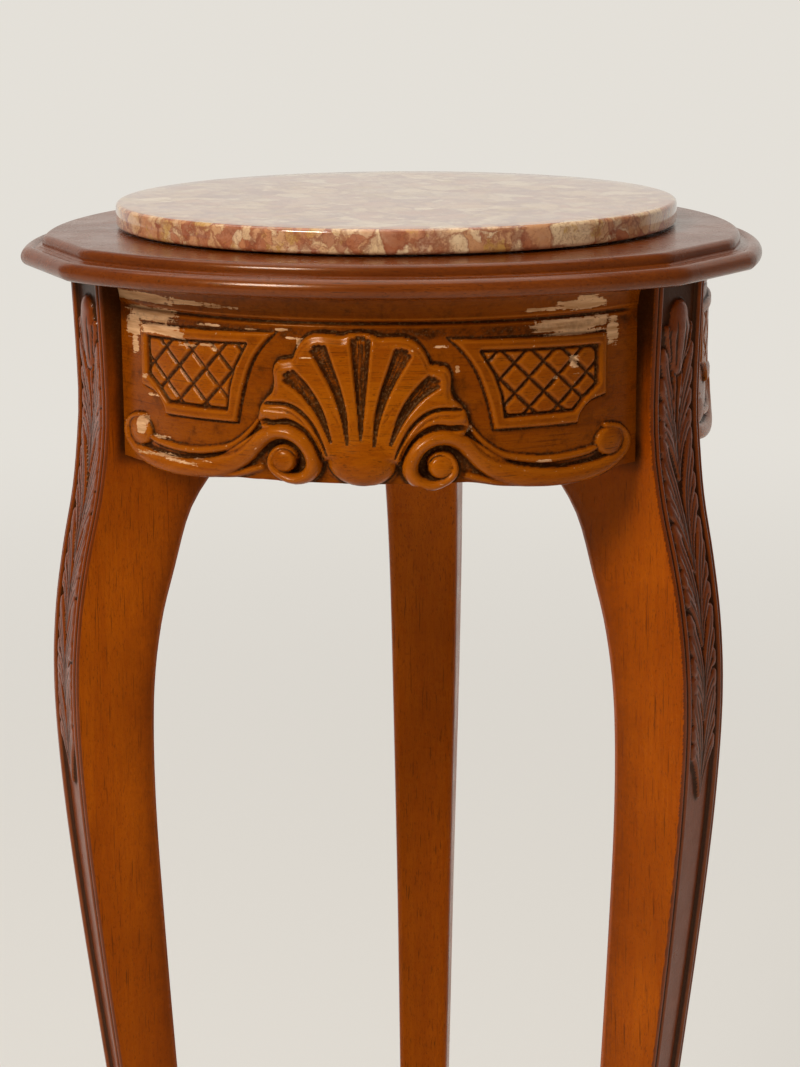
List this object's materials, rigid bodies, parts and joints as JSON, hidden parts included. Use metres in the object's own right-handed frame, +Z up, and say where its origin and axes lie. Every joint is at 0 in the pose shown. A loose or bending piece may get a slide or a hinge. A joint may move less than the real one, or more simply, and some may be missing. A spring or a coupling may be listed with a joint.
{
  "type": "tripod pedestal stand",
  "caption": "Small round side stand on carved cabriole legs, with shell-carved aprons and a loose marble disc on a moulded wooden top.",
  "frame": {"origin": "on the floor, under the middle of the stand's bounding box; the stand's own upright axis is 4.3 mm in front of it, at y = -0.0043", "axes": "+Z up; the front apron faces -Y; the single leg at the back is towards +Y"},
  "size_m": [0.3242, 0.3228, 0.72],
  "materials": {
    "stained_wood": "satin",
    "dark_stained_wood": "satin",
    "plain_wood": "matte",
    "marble": "polished",
    "felt": "matte",
    "steel": "satin"
  },
  "bodies": {
    "stand": {"marble_pads": "felt", "top_board": "dark_stained_wood", "rail_front": "stained_wood", "rail_right": "stained_wood", "rail_left": "stained_wood", "leg_front_left": "stained_wood", "leg_front_right": "stained_wood", "leg_back": "stained_wood", "glue_block_1": "plain_wood", "glue_block_2": "plain_wood", "glue_block_3": "plain_wood", "glue_block_4": "plain_wood", "glue_block_5": "plain_wood", "glue_block_6": "plain_wood", "rail_dowels": "plain_wood", "top_screws": "steel"},
    "marble": {"marble_disc": "marble"}
  },
  "joints": [
    {"name": "marble_lift", "type": "slide", "parent": "stand", "child": "marble", "axis": [0, 0, 1], "range_m": [0, 0.06]}
  ]
}
